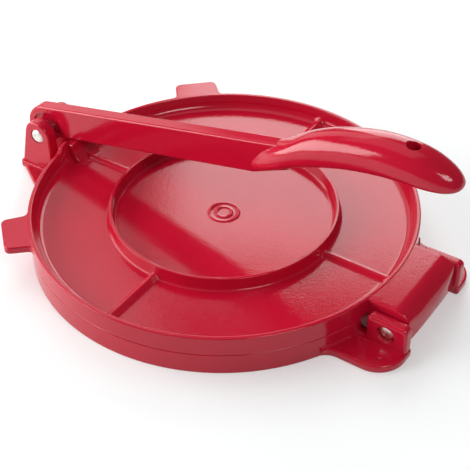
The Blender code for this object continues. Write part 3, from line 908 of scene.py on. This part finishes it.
def lever_holes():
    """The two pockets, the pivot bore, and the hang hole, square to the lever, with its upper
    mouth rounded where it leaves the crest of the grip."""
    holes = []
    for side in (1, -1):
        low, high = sorted((side * (arm_half - pocket_depth), side * (arm_half + pocket_open)))
        pocket = plate_rings(pocket_outline(), low, high, pocket_edge, upright=True)
        holes.append(shell("arm_pocket", tilted(pocket)))
    holes.append(rod("hub_bore", pivot_pin_radius + running_gap, fork_inner + mm, (pivot_x, 0, pivot_z)))
    along = grip_start + grip_length - hang_hole_setback
    share = np.array([1 - hang_hole_setback / grip_length])
    _, rise, _, height, _ = grip_stations(share)[0]
    crest = rise * grip_rise + height * (grip_waist_share + grip_crown_share) * grip_half_height
    mouth = tilted(np.array([[along, 0, crest - hang_hole_round / 3]]))[0]
    wide = hang_hole_radius + hang_hole_round
    lip = arc((wide, -hang_hole_round), hang_hole_round, 180, 90, 8)
    profile = np.concatenate([[(hang_hole_radius, -hang_hole_tool)], lip, [(wide, hang_hole_tool)]])
    holes.append(spun("hang_hole", profile, mouth, sides=64))
    return holes


lever_piece = fused("lever_casting", lever_shells(), lever_holes())
lever_piece.data.materials.clear()
lever_piece.data.materials.append(baked_enamel("baked_enamel_lever", 0.71))
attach(lever_piece, "lever")
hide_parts("lever")


# Lever pin
# The same drawn rod, a size thinner, driven through the fork and the lever's hub. Its ends
# stand slightly proud of the fork.

pin_proud = 0.8 * mm

steel_pin("pivot_rod", pivot_pin_radius, fork_outer + pin_proud, (pivot_x, 0, pivot_z), "lever_pin")


# Stage
# Pale floor in plain even surroundings. Three softboxes and a dim panel stand round the
# press for its gloss to mirror, and two weak lights above fill its shadows. The camera
# stands where the photograph was taken.

floor_half = 4.0
floor_drop = 0.05 * mm
surround_light = 0.13
floor_glow = 0.30
lamps = {
    "back_softbox": {
        "towards": (-0.37, 0.83, 0.41),
        "distance": 1.3,
        "size": (0.60, 0.90),
        "radiance": 4.2,
        "mirrored": True,
    },
    "left_softbox": {
        "towards": (-0.80, -0.50, 0.34),
        "distance": 1.3,
        "size": (1.45, 0.62),
        "radiance": 7.0,
        "mirrored": True,
    },
    "right_softbox": {
        "towards": (0.64, -0.30, 0.71),
        "distance": 1.3,
        "size": (0.5, 0.4),
        "radiance": 8.0,
        "mirrored": True,
    },
    "dim_left_panel": {
        "towards": (-0.74, 0.45, 0.50),
        "distance": 1.3,
        "size": (0.54, 1.05),
        "radiance": 1.0,
        "mirrored": True,
    },
    "fill_light": {
        "towards": (-0.4, 0.4, 0.85),
        "distance": 1.4,
        "size": (1.2, 1.2),
        "radiance": 0.8,
        "mirrored": False,
    },
    "top_light": {
        "towards": (-0.4, 0.1, 1.0),
        "distance": 1.4,
        "size": (1.2, 1.2),
        "radiance": 0.6,
        "mirrored": True,
    },
}

camera_position = Vector((0.29230, -0.41515, 0.42511))
camera_yaw = math.radians(124.503)
camera_pitch = math.radians(-39.969)
camera_roll = math.radians(-0.7186)
camera_lens = 91.42
camera_sensor = 36.0


def seen_or_mirrored(material):
    """1 for rays from the camera, in a reflection or through glass, otherwise 0."""
    path = add(material, "LightPath").outputs
    either = {0: path["Is Camera Ray"], 1: path["Is Glossy Ray"]}
    seen = add(material, "Math", either, operation="MAXIMUM").outputs["Value"]
    through = {0: seen, 1: path["Is Transmission Ray"]}
    return add(material, "Math", through, operation="MAXIMUM").outputs["Value"]


def pale_floor():
    """Matt white board. It takes the press's shadow, and glows a little where it is seen
    so that it runs into the white surroundings."""
    material = blank_material("matt_white_board")
    place = add(material, "TexCoord").outputs["Object"]
    mottle = add(material, "TexNoise", {"Vector": place, "Scale": 6.0, "Detail": 2.0})
    white = ramp(material, mottle.outputs["Fac"], [(0.3, linear("d9dcdc")), (0.7, linear("dcdfdf"))])
    matt = add(material, "BsdfDiffuse", {"Color": white})
    strength = add(material, "Math", {0: seen_or_mirrored(material), 1: floor_glow}, operation="MULTIPLY")
    glow = add(material, "Emission", {"Strength": strength.outputs["Value"]})
    both = add(material, "AddShader", {0: matt.outputs["BSDF"], 1: glow.outputs["Emission"]})
    add(material, "OutputMaterial", {"Surface": both.outputs["Shader"]})
    return material


floor_mesh = bpy.data.meshes.new("floor")
floor_corners = np.array([(-1, -1, 0), (1, -1, 0), (1, 1, 0), (-1, 1, 0)]) * floor_half - (0, 0, floor_drop)
floor_mesh.from_pydata(floor_corners.tolist(), [], [(0, 1, 2, 3)])
floor_mesh.materials.append(pale_floor())
floor = bpy.data.objects.new("floor", floor_mesh)
bpy.context.scene.collection.objects.link(floor)

surround = bpy.data.worlds.new("even_surround")
surround.use_nodes = True
surround.node_tree.nodes.clear()
backdrop = add(surround, "Background", {"Color": (1, 1, 1, 1), "Strength": surround_light})
add(surround, "OutputWorld", {"Surface": backdrop.outputs["Background"]})
bpy.context.scene.world = surround

for name, facts in lamps.items():
    towards = Vector(facts["towards"]).normalized()
    lamp = bpy.data.lights.new(name, "AREA")
    lamp.shape = "RECTANGLE"
    lamp.size, lamp.size_y = facts["size"]
    lamp.energy = facts["radiance"] * math.pi * lamp.size * lamp.size_y
    panel = bpy.data.objects.new(name, lamp)
    panel.location = towards * facts["distance"]
    panel.rotation_euler = towards.to_track_quat("Z", "Y").to_euler()
    panel.visible_camera = False
    panel.visible_glossy = facts["mirrored"]
    bpy.context.scene.collection.objects.link(panel)

look = Vector((
    math.cos(camera_pitch) * math.cos(camera_yaw),
    math.cos(camera_pitch) * math.sin(camera_yaw),
    math.sin(camera_pitch),
))
level_right = Vector((math.sin(camera_yaw), -math.cos(camera_yaw), 0))
level_up = level_right.cross(look)
right = math.cos(camera_roll) * level_right + math.sin(camera_roll) * level_up
up = math.cos(camera_roll) * level_up - math.sin(camera_roll) * level_right
camera_data = bpy.data.cameras.new("camera")
camera_data.lens = camera_lens
camera_data.sensor_width = camera_sensor
camera = bpy.data.objects.new("camera", camera_data)
camera.matrix_world = Matrix.Translation(camera_position) @ Matrix((right, up, -look)).transposed().to_4x4()
bpy.context.scene.collection.objects.link(camera)
bpy.context.scene.camera = camera
bpy.context.scene.view_settings.view_transform = "Standard"
